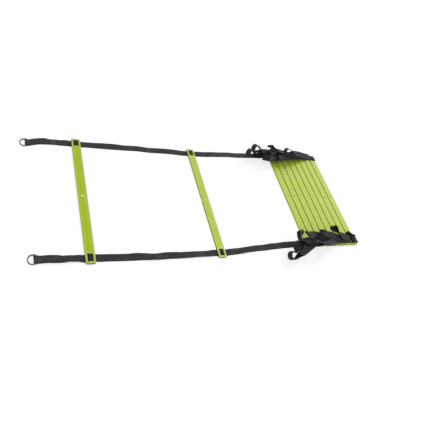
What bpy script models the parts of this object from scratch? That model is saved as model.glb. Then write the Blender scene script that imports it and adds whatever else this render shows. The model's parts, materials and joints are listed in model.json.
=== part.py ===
"""Agility ladder: ten flat slotted rungs threaded on two webbing side straps.

Two rungs lie spread out and eight are gathered in a flat stack. The webbing that is slack
between the gathered rungs stands up in folded bights at both rung ends, and a D-ring hangs in
the sewn fold at the leading end of each strap.

Metres, +Z up, floor at z = 0. +X runs along the straps from the D-rings to the stack and +Y to
the far strap. The origin is the middle of the footprint, on the floor.
"""

import math

import bmesh
import bpy
import numpy as np
from mathutils import Vector
from mathutils.kdtree import KDTree

# Rungs: flat moulded bars with a slotted window at each end
RUNG_LENGTH = 0.432
RUNG_WIDTH = 0.0254
RUNG_THICKNESS = 0.004
RUNG_CORNER_RADIUS = 0.0035
RUNG_TOP_BEVEL = 0.0009
RUNG_BASE_BEVEL = 0.0006
RAIL_WIDTH = 0.0054
END_BAR_WIDTH = 0.0063
CENTRE_BAR_WIDTH = 0.0046
CENTRE_BAR_HEIGHT = 0.0022
WINDOW_LEAD_IN = 0.0004
PEG_HOLE_RADIUS = 0.0035
PEG_HOLE_CHAMFER = 0.0005

# Webbing side straps
WEB_WIDTH = 0.022
WEB_THICKNESS = 0.0012
WEB_SIDE_ROOM = 0.0004
WEB_BEND_RADIUS = 0.0014
REST_GAP = 0.0003
PLY_GAP = 0.0005

# Layout along the straps
SPREAD_PITCH = 0.3773
STACK_OFFSET = 0.3412
STACK_COUNT = 8
STACK_SIDE_SHIFT = 0.026

# D-rings and the sewn folds that hold them
RING_WIRE_RADIUS = 0.0015
RING_HALF_WIDTH = 0.0135
RING_DEPTH = 0.016
RING_CORNER_RADIUS = 0.0022
FAR_TAIL = 0.136
NEAR_TAIL = 0.128
FAR_TAIL_DRIFT = -0.0115
NEAR_TAIL_DRIFT = 0.0018
FOLD_LAP = 0.058
FOLD_TAPER = 0.012
FOLD_PLY_GAP = 0.0005

# Slow waves of the spread webbing: one edge lifts while the other stays on the floor
WAVE_LENGTH = 0.148
WAVE_WANDER_LENGTH = 0.39
WAVE_EDGE_LIFT = 0.0034
NEAR_SPAN_BOW = -0.0024
FAR_SPAN_BOW = -0.0008

# Bights: slack webbing between two gathered rungs, folded double
BIGHT_RISE = 0.0015
BIGHT_BEND_RADIUS = 0.0055
BIGHT_TURN_LENGTH = 0.06
BIGHT_TIP_LENGTH = 0.07
BIGHT_LOOSENESS = 0.0002

# End of each strap past the last rung, wrapped loosely round its outer rail
FAR_TAIL_END = 0.021
NEAR_TAIL_END = 0.044
TAIL_LOOSENESS = 0.0016

CUT_OVERRUN = 0.002
LAY_STEPS = 16
TAIL_STEPS = 11
BIGHT_NECK_SHARE = 2.6

# Tails: lift of the inner edge, turn inward and turn at the end, in right angles, then the
# shares of the tail's length over which it lifts and turns
FAR_TAIL_SHARES = (0.0, 0.0, 0.0, 0.5, 0.5)
NEAR_TAIL_SHARES = (0.85, 0.55, 0.05, 0.45, 0.40)

# Drift of the straps from the second rung to the stack: (share of the way, share of the shift)
FAR_DRIFT_SHARES = ((0.0, 0.0), (0.2, 0.1), (0.4, 0.3), (0.62, 0.5), (0.82, 0.8), (1.0, 1.0))
NEAR_DRIFT_SHARES = ((0.0, 0.0), (0.2, 0.2), (0.4, 0.44), (0.62, 0.66), (0.82, 0.86), (1.0, 1.0))

# One row a bight, from the stack's first gap to its last. Length as a share of the slack, eye
# radius as a share of the webbing's width, side of the line the eye stands on (1 above), then
# heading, yaw and roll once it lies, and the same three at its tip, in right angles
FAR_BIGHT_SHARES = (
    (0.80, 0.45, 0.5, 0.96, -0.12, -0.04, 1.02, 0.00, 0.42),
    (0.89, 0.42, 0.9, 0.90, -0.07, -0.04, 0.90, 0.04, 0.45),
    (0.88, 0.16, 0.9, 0.885, -0.26, -0.04, 0.98, -0.14, -0.12),
    (0.99, 0.42, 0.9, 0.885, -0.10, -0.04, 0.90, 0.06, 0.30),
    (0.82, 0.20, 0.9, 0.885, -0.06, -0.04, 0.82, 0.04, 0.00),
    (0.94, 0.18, 0.8, 0.895, -0.26, -0.06, 0.94, -0.02, -0.08),
    (0.88, 0.36, 0.9, 0.885, -0.14, -0.06, 0.90, 0.12, 0.18),
)
NEAR_BIGHT_SHARES = (
    (0.52, 0.46, 0.9, 0.940, 0.06, 0.00, 1.00, 0.34, 0.45),
    (1.00, 0.42, 0.2, 0.89, -0.32, 0.00, 1.12, -0.06, 0.60),
    (0.88, 0.18, 0.9, 0.875, -0.14, -0.04, 0.90, -0.04, -0.02),
    (0.76, 0.18, 0.9, 0.870, 0.04, -0.04, 0.87, 0.10, -0.02),
    (0.86, 0.22, 0.9, 0.875, -0.20, -0.04, 0.92, -0.02, -0.04),
    (0.80, 0.22, 0.9, 0.886, 0.06, -0.02, 0.88, 0.20, 0.10),
    (0.74, 0.30, 0.9, 0.875, -0.16, -0.02, 0.82, 0.60, 0.40),
)

# Sizes that follow from the ones above
RUNG_BASE = WEB_THICKNESS + REST_GAP
RUNG_TOP = RUNG_BASE + RUNG_THICKNESS
WINDOW_HALF_WIDTH = RUNG_WIDTH / 2 - RAIL_WIDTH
WINDOW_LENGTH = WEB_WIDTH + 2 * WEB_SIDE_ROOM
WINDOW_CENTRE = RUNG_LENGTH / 2 - END_BAR_WIDTH - WINDOW_LENGTH / 2
STACK_GAP = 2 * WEB_THICKNESS + 3 * PLY_GAP
STACK_PITCH = RUNG_WIDTH + STACK_GAP
SLACK = SPREAD_PITCH - RUNG_WIDTH
PLY_OFFSET = (WEB_THICKNESS + PLY_GAP) / 2
STACK_START = SPREAD_PITCH + STACK_OFFSET
CREST = RUNG_BASE + CENTRE_BAR_HEIGHT + REST_GAP + WEB_THICKNESS / 2
FLOOR_PLY = WEB_THICKNESS / 2
WRAP_RADIUS = RING_WIRE_RADIUS + REST_GAP + WEB_THICKNESS / 2
RING_BAR_HEIGHT = WEB_THICKNESS + REST_GAP + RING_WIRE_RADIUS
LAP_PLY = FLOOR_PLY + WEB_THICKNESS + FOLD_PLY_GAP
QUARTER = math.pi / 2
RING_TILT = math.asin((RING_BAR_HEIGHT - RING_WIRE_RADIUS) / RING_DEPTH)


def clear_scene():
    """Remove whatever objects the open scene holds."""
    for thing in list(bpy.data.objects):
        bpy.data.objects.remove(thing, do_unlink=True)


def finish(name, colour, roughness, metallic=0.0):
    """A Principled material with one colour, roughness and metallic value."""
    material = bpy.data.materials.new(name)
    material.use_nodes = True
    shader = material.node_tree.nodes["Principled BSDF"]
    shader.inputs["Base Color"].default_value = (*colour, 1.0)
    shader.inputs["Roughness"].default_value = roughness
    shader.inputs["Metallic"].default_value = metallic
    material.diffuse_color = (*colour, 1.0)
    return material


def add_object(name, mesh, material, parent, location=(0.0, 0.0, 0.0)):
    """Put a mesh into the scene as one sub-part under the ladder's empty."""
    thing = bpy.data.objects.new(name, mesh)
    if not mesh.materials:
        mesh.materials.append(material)
    thing.location = location
    thing.parent = parent
    bpy.context.collection.objects.link(thing)
    return thing


def ease(share):
    """Smooth step from 0 to 1 with level ends."""
    share = np.clip(share, 0.0, 1.0)
    return share * share * (3.0 - 2.0 * share)


# Rungs


def rounded_outline(half_x, half_y, radius, steps=4):
    """Corner points of a rectangle with round corners, counter-clockwise."""
    points = []
    for turn, (sx, sy) in enumerate(((1, 1), (-1, 1), (-1, -1), (1, -1))):
        for step in range(steps + 1):
            angle = (turn + step / steps) * math.pi / 2
            points.append(
                (
                    sx * (half_x - radius) + radius * math.cos(angle),
                    sy * (half_y - radius) + radius * math.sin(angle),
                )
            )
    return points


def loft(rings):
    """Closed mesh through rings of equal point counts, with flat ends."""
    shape = bmesh.new()
    loops = [[shape.verts.new(point) for point in ring] for ring in rings]
    for low, high in zip(loops, loops[1:]):
        for here in range(len(low)):
            there = (here + 1) % len(low)
            shape.faces.new((low[here], low[there], high[there], high[here]))
    shape.faces.new(list(reversed(loops[0])))
    shape.faces.new(loops[-1])
    bmesh.ops.recalc_face_normals(shape, faces=shape.faces)
    return shape


def to_mesh(shape, name):
    mesh = bpy.data.meshes.new(name)
    shape.to_mesh(mesh)
    shape.free()
    return mesh


def rung_blank():
    """The bar before its windows: round corners, bevelled along both faces."""
    half_x = RUNG_WIDTH / 2
    half_y = RUNG_LENGTH / 2
    levels = (
        (0.0, RUNG_BASE_BEVEL),
        (RUNG_BASE_BEVEL, 0.0),
        (RUNG_THICKNESS - RUNG_TOP_BEVEL, 0.0),
        (RUNG_THICKNESS, RUNG_TOP_BEVEL),
    )
    rings = []
    for height, inset in levels:
        outline = rounded_outline(half_x - inset, half_y - inset, RUNG_CORNER_RADIUS - inset)
        rings.append([(x, y, height) for x, y in outline])
    return to_mesh(loft(rings), "rung_blank")


def window_profile(steps=6):
    """Half of the window's void seen along the rung: a slot, and the recess over the bar."""
    bar = CENTRE_BAR_WIDTH / 2
    shoulder = CENTRE_BAR_HEIGHT - bar / 2
    lead = WINDOW_HALF_WIDTH + WINDOW_LEAD_IN
    above = RUNG_THICKNESS + CUT_OVERRUN
    points = [
        (-lead - CUT_OVERRUN, above),
        (-WINDOW_HALF_WIDTH, RUNG_THICKNESS - WINDOW_LEAD_IN),
        (-WINDOW_HALF_WIDTH, -CUT_OVERRUN),
        (-bar, -CUT_OVERRUN),
    ]
    for step in range(steps + 1):
        angle = math.pi * (1.0 - step / steps)
        points.append((bar * math.cos(angle), shoulder + bar / 2 * math.sin(angle)))
    points += [
        (bar, -CUT_OVERRUN),
        (WINDOW_HALF_WIDTH, -CUT_OVERRUN),
        (WINDOW_HALF_WIDTH, RUNG_THICKNESS - WINDOW_LEAD_IN),
        (lead + CUT_OVERRUN, above),
    ]
    return points


def window_cutter(side):
    """The void of one end window, carried along the rung over the window's length."""
    profile = window_profile()
    centre = side * WINDOW_CENTRE
    ends = (centre - WINDOW_LENGTH / 2, centre + WINDOW_LENGTH / 2)
    return to_mesh(loft([[(x, y, z) for x, z in profile] for y in ends]), "window_cutter")


def peg_hole_cutter(steps=16):
    """A round hole with both rims chamfered, as a stack of turned rings."""
    wide = PEG_HOLE_RADIUS + PEG_HOLE_CHAMFER + CUT_OVERRUN
    levels = (
        (-CUT_OVERRUN, wide),
        (PEG_HOLE_CHAMFER, PEG_HOLE_RADIUS),
        (RUNG_THICKNESS - PEG_HOLE_CHAMFER, PEG_HOLE_RADIUS),
        (RUNG_THICKNESS + CUT_OVERRUN, wide),
    )
    rings = []
    for height, radius in levels:
        turn = [2 * math.pi * step / steps for step in range(steps)]
        rings.append([(radius * math.cos(a), radius * math.sin(a), height) for a in turn])
    return to_mesh(loft(rings), "peg_hole_cutter")


def rung_mesh():
    """The finished rung: the blank less two windows and the peg hole."""
    blank = bpy.data.objects.new("rung_blank", rung_blank())
    bpy.context.collection.objects.link(blank)
    cutters = []
    for number, cut in enumerate((window_cutter(1), window_cutter(-1), peg_hole_cutter())):
        cutter = bpy.data.objects.new(f"cutter_{number}", cut)
        cutter.hide_render = True
        cutter.display_type = "WIRE"
        bpy.context.collection.objects.link(cutter)
        boolean = blank.modifiers.new(f"cut_{number}", "BOOLEAN")
        boolean.operation = "DIFFERENCE"
        boolean.solver = "EXACT"
        boolean.object = cutter
        cutters.append(cutter)
    evaluated = blank.evaluated_get(bpy.context.evaluated_depsgraph_get())
    mesh = bpy.data.meshes.new_from_object(evaluated)
    mesh.name = "rung"
    for thing in (blank, *cutters):
        bpy.data.objects.remove(thing, do_unlink=True)
    return mesh


def rung_places():
    """Centre of every rung in plan, from the leading one to the last of the stack."""
    spread = [(0.0, 0.0), (SPREAD_PITCH, 0.0)]
    stack = [
        (STACK_START + number * STACK_PITCH, STACK_SIDE_SHIFT) for number in range(STACK_COUNT)
    ]
    return spread + stack


# Side straps: a band carried along a route. A route is two arrays, the places of the band's
# middle and the directions across it.


def across(count):
    return np.tile((0.0, 1.0, 0.0), (count, 1))


def fold_run(bar_x, line):
    """The sewn end: back along the lap, up over the ring's bar and round it to the floor."""
    lap = np.linspace(FOLD_LAP, FOLD_TAPER, 5)[:-1]
    taper = np.linspace(FOLD_TAPER, 0.0, 7)[:-1]
    turn = np.linspace(0.0, math.pi, 9)
    top = RING_BAR_HEIGHT + WRAP_RADIUS
    rise = LAP_PLY + (top - LAP_PLY) * ease(1.0 - taper / FOLD_TAPER)
    x = np.concatenate([lap, taper, -WRAP_RADIUS * np.sin(turn), lap[::-1]]) + bar_x
    around = RING_BAR_HEIGHT + WRAP_RADIUS * np.cos(turn)
    flat = np.full(len(lap), LAP_PLY)
    z = np.concatenate([flat, rise, around, np.full(len(lap), FLOOR_PLY)])
    return np.stack([x, line(x), z], axis=1), across(len(x))


def span_run(start, end, line, phase):
    """A flat stretch on the floor whose edges lift by turns in slow waves."""
    count = 4 + int((end - start) / WAVE_LENGTH * 12)
    x = np.linspace(start, end, count)
    wander = 0.35 * np.sin(2 * math.pi * (x - start) / WAVE_WANDER_LENGTH + phase)
    wave = np.sin(2 * math.pi * ((x - start) / WAVE_LENGTH + wander) + phase)
    fade = ease((x - start) / (WAVE_LENGTH / 4)) * ease((end - x) / (WAVE_LENGTH / 4))
    tilt = WAVE_EDGE_LIFT / WEB_WIDTH * wave * np.abs(wave) * fade
    z = FLOOR_PLY + 0.54 * np.abs(tilt) * WEB_WIDTH
    width = np.stack([np.zeros(count), np.ones(count), tilt], axis=1)
    return np.stack([x, line(x), z], axis=1), width


def hump_run(rung_x, rung_y):
    """Up through one slot, over the centre bar and down through the other."""
    bar = CENTRE_BAR_WIDTH / 2
    up = np.linspace(-WINDOW_HALF_WIDTH, -bar, 6)
    offset = np.concatenate([up, -up[::-1]])
    share = (WINDOW_HALF_WIDTH - np.abs(offset)) / (WINDOW_HALF_WIDTH - bar)
    z = FLOOR_PLY + (CREST - FLOOR_PLY) * ease(share)
    x = rung_x + offset
    return np.stack([x, np.full(len(x), rung_y), z], axis=1), across(len(x))


def corner_run(x, y, side):
    """Quarter turn in the gap between two rungs: floor to upright, or upright to floor."""
    turn = np.linspace(0.0, math.pi / 2, 4)
    out = PLY_OFFSET + WEB_BEND_RADIUS
    px = x + side * (out - WEB_BEND_RADIUS * np.sin(turn))
    pz = FLOOR_PLY + WEB_BEND_RADIUS * (1.0 - np.cos(turn))
    points = np.stack([px, np.full(len(px), y), pz], axis=1)
    if side > 0:
        points = points[::-1]
    return points, across(len(px))


def bight_angles(along, length, shares):
    """Heading from upright, yaw and roll of a bight's middle line at distances along it."""
    _, _, _, lay, yaw, roll, tip_lay, tip_yaw, tip_roll = shares
    bend = np.clip((along - BIGHT_RISE) / (BIGHT_BEND_RADIUS * lay * QUARTER), 0.0, 1.0)
    set_in = ease((along - BIGHT_RISE) / BIGHT_TURN_LENGTH)
    tip = ease((along - length + BIGHT_TIP_LENGTH) / BIGHT_TIP_LENGTH)
    heading = lay * bend + (tip_lay - lay) * tip
    return (
        QUARTER * heading,
        QUARTER * (yaw * set_in + (tip_yaw - yaw) * tip),
        QUARTER * (roll * set_in + (tip_roll - roll) * tip),
    )


def bight_run(gap_x, root_y, shares):
    """One bight: out along the lower side of its middle line, round the eye, and back above."""
    slack, eye, eye_side = shares[:3]
    radius = eye * WEB_WIDTH
    length = (slack * SLACK - math.pi * radius) / 2 - RUNG_TOP
    bent = BIGHT_RISE + QUARTER * BIGHT_BEND_RADIUS
    along = np.concatenate([np.linspace(0.0, bent, 7), np.linspace(bent, length, LAY_STEPS)[1:]])
    heading, yaw, roll = bight_angles(along, length, shares)
    ahead = np.stack(
        [-np.sin(heading) * np.cos(yaw), np.sin(heading) * np.sin(yaw), np.cos(heading)], axis=1
    )
    level = np.stack([np.sin(yaw), np.cos(yaw), 0.0 * yaw], axis=1)
    under = np.cross(ahead, level)
    wide = np.cos(roll)[:, None] * level + np.sin(roll)[:, None] * under
    below = np.cos(roll)[:, None] * under - np.sin(roll)[:, None] * level
    steps = (ahead[1:] + ahead[:-1]) / 2 * (along[1:] - along[:-1])[:, None]
    middle = np.concatenate([np.zeros((1, 3)), np.cumsum(steps, axis=0)])
    middle += (gap_x, root_y, RUNG_TOP)
    neck = ease((along - length + BIGHT_NECK_SHARE * radius) / (BIGHT_NECK_SHARE * radius))
    half = PLY_OFFSET + BIGHT_LOOSENESS * ease((along - BIGHT_RISE) / BIGHT_TURN_LENGTH)
    swell = (radius - half) * neck
    lower = middle + (half + swell * (1.0 - eye_side))[:, None] * below
    upper = middle - (half + swell * (1.0 + eye_side))[:, None] * below
    centre = (lower[-1] + upper[-1]) / 2
    turn = np.linspace(math.pi / 2, -math.pi / 2, 9)[1:-1, None]
    round_eye = centre + radius * (np.sin(turn) * below[-1] + np.cos(turn) * ahead[-1])
    places = np.concatenate([lower, round_eye, upper[::-1]])
    widths = np.concatenate([wide, np.tile(wide[-1], (len(turn), 1)), wide[::-1]])
    return places, widths


def tail_run(rung_x, rung_y, side, length, shares):
    """The strap's end: under the last rung's outer rail, round it, then on edge and inward."""
    lift_most, turn_most, turn_last, lift_over, turn_over = shares
    rail = RUNG_WIDTH / 2 - RUNG_TOP_BEVEL
    top = RUNG_TOP + REST_GAP + WEB_THICKNESS / 2 + TAIL_LOOSENESS
    radius = (top - FLOOR_PLY) / 2
    turn = np.linspace(0.0, math.pi, 9)
    wrap = np.stack(
        [rail + radius * np.sin(turn), 0.0 * turn, FLOOR_PLY + radius * (1.0 - np.cos(turn))],
        axis=1,
    )
    share = np.linspace(0.0, 1.0, TAIL_STEPS)[1:]
    lift = QUARTER * lift_most * ease(share / lift_over)
    straighten = (turn_last - turn_most) * ease((share - turn_over) / (1.0 - turn_over))
    yaw = QUARTER * (turn_most * ease(share / turn_over) + straighten)
    heading = np.stack([-np.cos(yaw), -side * np.sin(yaw), 0.0 * yaw], axis=1)
    level = np.stack([-side * np.sin(yaw), np.cos(yaw), 0.0 * yaw], axis=1)
    end = wrap[-1] + np.cumsum(heading * (length / len(share)), axis=0)
    end[:, 2] += np.sin(lift) * WEB_WIDTH / 2 - TAIL_LOOSENESS * ease(share)
    upright = np.array((0.0, 0.0, 1.0))
    wide = np.cos(lift)[:, None] * level - side * np.sin(lift)[:, None] * upright
    places = np.concatenate([wrap, end]) + (rung_x, rung_y, 0.0)
    return places, np.concatenate([across(len(wrap)), wide])


def strap_line(side, plan):
    """Distance of the strap's middle from the ladder's middle line, for any place along it."""
    tail, tail_drift, bow, drift_shares = plan
    shares = np.array(drift_shares)
    rest = side * WINDOW_CENTRE

    def line(x):
        before = tail_drift * ease(-(x + RUNG_WIDTH) / (tail - RUNG_WIDTH))
        middle = bow * np.sin(math.pi * np.clip(x / SPREAD_PITCH, 0.0, 1.0)) ** 2
        free = STACK_OFFSET - RUNG_WIDTH
        way = np.clip((x - SPREAD_PITCH - RUNG_WIDTH / 2) / free, 0.0, 1.0)
        drift = STACK_SIDE_SHIFT * np.interp(way, shares[:, 0], shares[:, 1])
        return rest + before + middle + drift

    return line


def strap_route(side, plan, bights, end):
    """The whole route of one side strap, from its sewn lap to its end in the last rung."""
    line = strap_line(side, plan)
    half = RUNG_WIDTH / 2
    runs = [fold_run(-plan[0], line)]
    start = -plan[0] + FOLD_LAP + WRAP_RADIUS
    for number in range(2):
        rung_x = number * SPREAD_PITCH
        runs.append(span_run(start, rung_x - half, line, 0.9 * number + side))
        runs.append(hump_run(rung_x, side * WINDOW_CENTRE))
        start = rung_x + half
    runs.append(span_run(start, STACK_START - half, line, 2.1 + side))
    stack_y = side * WINDOW_CENTRE + STACK_SIDE_SHIFT
    for number in range(STACK_COUNT):
        rung_x = STACK_START + number * STACK_PITCH
        runs.append(hump_run(rung_x, stack_y))
        if number < STACK_COUNT - 1:
            gap_x = rung_x + STACK_PITCH / 2
            runs.append(corner_run(gap_x, stack_y, -1))
            runs.append(bight_run(gap_x, stack_y, bights[number]))
            runs.append(corner_run(gap_x, stack_y, 1))
    runs.append(tail_run(rung_x, stack_y, side, *end))
    places = np.concatenate([run[0] for run in runs])
    widths = np.concatenate([run[1] for run in runs])
    return places, widths


def band_frame(places, widths):
    """Unit directions along, across and square to the band at every place of its route."""
    steps = np.diff(places, axis=0)
    steps /= np.linalg.norm(steps, axis=1)[:, None]
    along = np.concatenate([steps[:1], steps[1:] + steps[:-1], steps[-1:]])
    along /= np.linalg.norm(along, axis=1)[:, None]
    wide = widths - np.sum(widths * along, axis=1)[:, None] * along
    wide /= np.linalg.norm(wide, axis=1)[:, None]
    return along, wide, np.cross(along, wide)


def band_mesh(places, widths, name):
    """Flat band of the webbing's width and thickness carried along a route, ends closed."""
    _, wide, square = band_frame(places, widths)
    edge = wide * WEB_WIDTH / 2
    face = square * WEB_THICKNESS / 2
    rings = np.stack([edge + face, face - edge, -edge - face, edge - face], axis=1)
    rings += places[:, None, :]
    count = len(places)
    faces = []
    for ring in range(count - 1):
        for corner in range(4):
            there = (corner + 1) % 4
            low = 4 * ring
            faces.append((low + corner, low + there, low + 4 + there, low + 4 + corner))
    faces.append((3, 2, 1, 0))
    last = 4 * (count - 1)
    faces.append((last, last + 1, last + 2, last + 3))
    mesh = bpy.data.meshes.new(name)
    mesh.from_pydata(rings.reshape(-1, 3).tolist(), [], faces)
    mesh.validate()
    return mesh


def least_gap(places, widths):
    """Smallest clear distance of the band to itself, measured on points of its middle sheet."""
    lengths = np.linalg.norm(np.diff(places, axis=0), axis=1)
    run = np.concatenate([[0.0], np.cumsum(lengths)])
    at = np.arange(0.0, run[-1], WEB_THICKNESS)
    wide = band_frame(places, widths)[1]
    middle = np.stack([np.interp(at, run, places[:, axis]) for axis in range(3)], axis=1)
    edge = np.stack([np.interp(at, run, wide[:, axis]) for axis in range(3)], axis=1)
    rows = np.linspace(-WEB_WIDTH / 2, WEB_WIDTH / 2, 15)
    points = (middle[None] + rows[:, None, None] * edge[None]).reshape(-1, 3)
    tree = KDTree(len(points))
    for index, point in enumerate(points):
        tree.insert(Vector(point), index)
    tree.balance()
    least = reach = 2 * WEB_THICKNESS
    apart = 6 * WEB_THICKNESS
    for index, point in enumerate(points):
        for _, found, distance in tree.find_range(Vector(point), least):
            if abs(at[found % len(at)] - at[index % len(at)]) > apart:
                least = min(least, distance)
    return least - WEB_THICKNESS, run[-1]


# D-rings


def ring_outline():
    """Middle line of the wire: a straight bar, two tight corners and a half-round crown."""
    points = []
    corner = RING_CORNER_RADIUS
    inner = RING_HALF_WIDTH - corner
    for step in range(5):
        angle = math.pi / 2 * step / 4
        points.append((corner * math.cos(angle) - corner, inner + corner * math.sin(angle)))
    for step in range(1, 12):
        angle = math.pi * step / 12
        deep = corner + (RING_DEPTH - corner) * math.sin(angle) ** 0.8
        points.append((-deep, RING_HALF_WIDTH * math.cos(angle)))
    for step in range(5):
        angle = math.pi / 2 * step / 4
        points.append((corner * math.sin(angle) - corner, -inner - corner * math.cos(angle)))
    return points


def ring_curve(name):
    """The bent wire as a closed curve with a round section."""
    curve = bpy.data.curves.new(name, "CURVE")
    curve.dimensions = "3D"
    curve.bevel_depth = RING_WIRE_RADIUS
    curve.bevel_resolution = 2
    outline = ring_outline()
    spline = curve.splines.new("POLY")
    spline.points.add(len(outline) - 1)
    for point, (x, y) in zip(spline.points, outline):
        point.co = (x, y, 0.0, 1.0)
    spline.use_cyclic_u = True
    return curve


def centre_footprint(ladder):
    """Shift the ladder so that the middle of its footprint is the origin, on the floor."""
    bpy.context.view_layer.update()
    depsgraph = bpy.context.evaluated_depsgraph_get()
    corners = []
    for thing in ladder.children:
        shape = thing.evaluated_get(depsgraph).to_mesh()
        corners += [thing.matrix_world @ vertex.co for vertex in shape.vertices]
        thing.evaluated_get(depsgraph).to_mesh_clear()
    low = [min(corner[axis] for corner in corners) for axis in range(3)]
    high = [max(corner[axis] for corner in corners) for axis in range(3)]
    ladder.location = (-(low[0] + high[0]) / 2, -(low[1] + high[1]) / 2, -low[2])


def build():
    clear_scene()
    plastic = finish("rung_plastic", (0.55, 0.72, 0.06), 0.42)
    webbing = finish("strap_webbing", (0.035, 0.035, 0.038), 0.85)
    steel = finish("ring_steel", (0.62, 0.62, 0.62), 0.28, 1.0)
    ladder = bpy.data.objects.new("ladder", None)
    bpy.context.collection.objects.link(ladder)
    rung = rung_mesh()
    for number, (x, y) in enumerate(rung_places()):
        add_object(f"rung_{number + 1:02d}", rung, plastic, ladder, (x, y, RUNG_BASE))
    far = (FAR_TAIL, FAR_TAIL_DRIFT, FAR_SPAN_BOW, FAR_DRIFT_SHARES)
    near = (NEAR_TAIL, NEAR_TAIL_DRIFT, NEAR_SPAN_BOW, NEAR_DRIFT_SHARES)
    for word, side, plan, bights, end in (
        ("far", 1, far, FAR_BIGHT_SHARES, (FAR_TAIL_END, FAR_TAIL_SHARES)),
        ("near", -1, near, NEAR_BIGHT_SHARES, (NEAR_TAIL_END, NEAR_TAIL_SHARES)),
    ):
        places, widths = strap_route(side, plan, bights, end)
        strap = band_mesh(places, widths, f"side_strap_{word}")
        add_object(f"side_strap_{word}", strap, webbing, ladder)
        gap, length = least_gap(places, widths)
        print(f"{word} strap: {length:.3f} m long, least gap to itself {gap * 1000:.2f} mm")
        bar = (-plan[0], float(strap_line(side, plan)(-plan[0])), RING_BAR_HEIGHT)
        ring = add_object(f"d_ring_{word}", ring_curve(f"d_ring_{word}"), steel, ladder, bar)
        ring.rotation_euler = (0.0, -RING_TILT, 0.0)
    centre_footprint(ladder)


build()
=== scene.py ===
"""Looks of the agility ladder: moulded rungs, webbing straps with their bights, and D-rings.

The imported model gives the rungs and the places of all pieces. The two side straps, the webbing
bridges in the slots of the spread rungs, the stitching and the D-rings are made here.
Metres, +Z up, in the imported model's frame.
"""

import json
import math

import bpy
import numpy as np
from bpy.props import FloatProperty, FloatVectorProperty, IntProperty, PointerProperty
from mathutils import Matrix, Vector


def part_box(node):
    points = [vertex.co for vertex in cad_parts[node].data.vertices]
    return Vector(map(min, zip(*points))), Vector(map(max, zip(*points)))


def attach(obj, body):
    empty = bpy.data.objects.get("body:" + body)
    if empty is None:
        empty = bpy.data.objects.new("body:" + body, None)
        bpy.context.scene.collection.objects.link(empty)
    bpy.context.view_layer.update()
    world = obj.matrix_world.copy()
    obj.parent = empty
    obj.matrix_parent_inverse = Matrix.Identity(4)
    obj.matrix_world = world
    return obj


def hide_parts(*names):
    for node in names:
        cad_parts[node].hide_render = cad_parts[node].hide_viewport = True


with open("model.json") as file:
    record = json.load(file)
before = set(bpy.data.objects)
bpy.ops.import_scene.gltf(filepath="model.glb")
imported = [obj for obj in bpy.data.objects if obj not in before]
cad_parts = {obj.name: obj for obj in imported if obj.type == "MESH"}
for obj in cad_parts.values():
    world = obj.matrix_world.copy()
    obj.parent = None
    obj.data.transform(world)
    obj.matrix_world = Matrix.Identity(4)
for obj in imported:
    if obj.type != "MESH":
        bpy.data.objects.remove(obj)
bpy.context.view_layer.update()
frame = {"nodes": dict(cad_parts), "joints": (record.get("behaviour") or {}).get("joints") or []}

bl_info = {
    "name": "Agility ladder looks",
    "version": (1, 0, 0),
    "blender": (4, 5, 0),
    "location": "View3D > Sidebar > Ladder",
    "description": "Dresses the packed agility ladder with webbing, stitching, rings and finishes",
    "category": "Object",
}

QUARTER = math.pi / 2

# Places of the rungs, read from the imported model
RUNG_NAMES = [f"rung_{number:02d}" for number in range(1, 11)]
RUNG_BOXES = [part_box(name) for name in RUNG_NAMES]
RUNG_CENTRES = [(low + high) / 2 for low, high in RUNG_BOXES]
RUNG_WIDTH = RUNG_BOXES[0][1].x - RUNG_BOXES[0][0].x
RUNG_LENGTH = RUNG_BOXES[0][1].y - RUNG_BOXES[0][0].y
RUNG_THICKNESS = RUNG_BOXES[0][1].z - RUNG_BOXES[0][0].z

# Window of a rung, and how the webbing lies in it
RAIL_WIDTH = 0.0054
END_BAR_WIDTH = 0.0063
CENTRE_BAR_WIDTH = 0.0046
CENTRE_BAR_HEIGHT = 0.0022
WEB_SIDE_ROOM = 0.0004
WEB_BEND_RADIUS = 0.0014
REST_GAP = 0.0003
PLY_GAP = 0.0005
RUNG_TOP_BEVEL = 0.0009

# Sewn folds and D-rings
RING_WIRE_RADIUS = 0.0015
RING_HALF_WIDTH = 0.0135
RING_DEPTH = 0.016
RING_CORNER_RADIUS = 0.0022
RING_CROWN_POWER = 0.8
FOLD_LAP = 0.058
FOLD_TAPER = 0.012
FOLD_PLY_GAP = 0.0005
STITCH_LIFT_SHARE = 0.1

# Bights: rise before the bend, the bend, the lengths over which a bight turns past its root and
# at its tip, how far its plies part past the root, and its neck as a share of the eye's radius
BIGHT_RISE = 0.0015
BIGHT_BEND_RADIUS = 0.0045
BIGHT_TURN_LENGTH = 0.012
BIGHT_TIP_LENGTH = 0.07
BIGHT_LOOSENESS = 0.0002
BIGHT_NECK_SHARE = 2.6

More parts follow.
